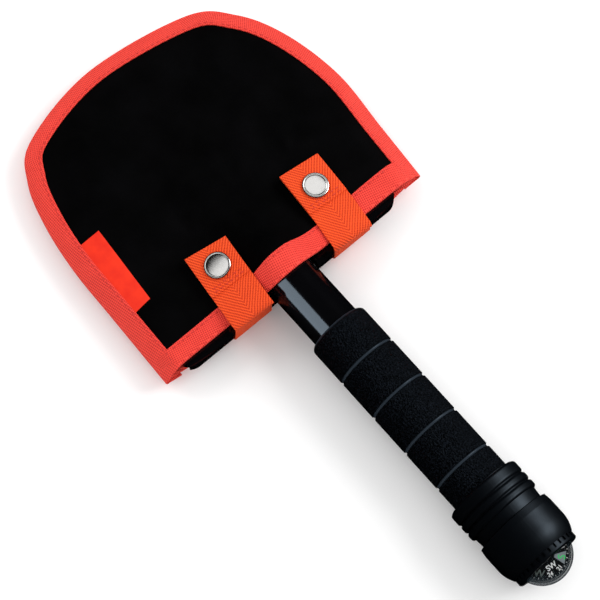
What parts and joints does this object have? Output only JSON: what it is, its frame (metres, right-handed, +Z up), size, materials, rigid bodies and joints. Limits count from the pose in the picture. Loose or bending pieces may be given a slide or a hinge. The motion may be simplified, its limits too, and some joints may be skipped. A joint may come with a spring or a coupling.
{
  "type": "camp shovel",
  "caption": "Short camp shovel with a dished steel blade in a sewn cover with snap straps, a grooved tubular handle and a screw-on pommel cap that holds a compass.",
  "frame": {"origin": "centre of the flat back of the cover, on the surface the shovel lies on, straight below the handle's axis", "axes": "+X runs along the handle from the blade to the compass, +Z is up out of the blade's hollow side, and +Y is to the left of someone looking from the blade to the compass"},
  "size_m": [0.3777, 0.1832, 0.0446],
  "materials": {
    "painted_steel": "gloss black baked paint on pressed steel",
    "grip_rubber": "matt black, fine pebbled moulding",
    "satin_plastic": "satin black moulded plastic",
    "seal_rubber": "plain black rubber",
    "clear_dome": "clear polished plastic",
    "card_face": "matt black with white marks",
    "magnet_steel": "plain steel",
    "float_plastic": "plain moulded plastic",
    "black_nylon": "black plain-weave nylon with a faint sheen",
    "coral_binding": "coral-red herringbone tape",
    "orange_webbing": "orange herringbone webbing",
    "red_label": "smooth red-orange ribbon",
    "nickel": "polished nickel plate",
    "brass_post": "plain brass"
  },
  "bodies": {
    "shovel": {"blade": "painted_steel", "shaft_tube": "painted_steel", "storage_plug": "seal_rubber", "grip": "grip_rubber", "thread_insert": "satin_plastic", "collar": "satin_plastic"},
    "cap_carrier": {"cap_gasket": "seal_rubber"},
    "pommel": {"pommel_cap": "satin_plastic", "compass_capsule": "satin_plastic", "bezel_ring": "satin_plastic", "compass_dome": "clear_dome", "capsule_seal": "seal_rubber"},
    "compass_float": {"compass_card": "card_face", "card_float": "float_plastic", "card_magnet": "magnet_steel"},
    "cover": {"back_panel": "black_nylon", "front_panel": "black_nylon", "side_binding": "coral_binding", "front_mouth_binding": "coral_binding", "back_mouth_binding": "coral_binding", "side_label": "red_label", "strap_left_tail": "orange_webbing", "strap_right_tail": "orange_webbing", "snap_stud_left": "nickel", "snap_stud_right": "nickel", "snap_post_left": "brass_post", "snap_post_right": "brass_post"},
    "left_flap": {"strap_left": "orange_webbing", "snap_cap_left": "nickel", "snap_socket_left": "nickel"},
    "right_flap": {"strap_right": "orange_webbing", "snap_cap_right": "nickel", "snap_socket_right": "nickel"}
  },
  "joints": [
    {"name": "cover_slide", "type": "slide", "parent": "shovel", "child": "cover", "axis": [-1, 0, 0], "range_m": [0, 0.18], "deforming": ["strap_left_tail", "strap_right_tail"]},
    {"name": "left_strap_open", "type": "hinge", "parent": "cover", "child": "left_flap", "pos_m": [0.0762, -0.02999, 0.03067], "axis": [0.0957, 0.9646, 0.2459], "range_deg": [0, 150]},
    {"name": "right_strap_open", "type": "hinge", "parent": "cover", "child": "right_flap", "pos_m": [0.07629, 0.04067, 0.0255], "axis": [0.0554, 0.9945, -0.089], "range_deg": [0, 150]},
    {"name": "cap_travel", "type": "slide", "parent": "shovel", "child": "cap_carrier", "axis": [1, 0, 0], "range_m": [0, 0.0101]},
    {"name": "cap_turn", "type": "hinge", "parent": "cap_carrier", "child": "pommel", "pos_m": [0.2673, 0, 0.0223], "axis": [1, 0, 0], "range_deg": [0, 1440]},
    {"name": "card_spin", "type": "hinge", "parent": "pommel", "child": "compass_float", "pos_m": [0.2673, 0, 0.0223], "axis": [0, 0, 1], "continuous": true}
  ],
  "couplings": [
    {"joint": "cap_travel", "follows": "cap_turn", "m_per_rad": 0.00039789}
  ]
}
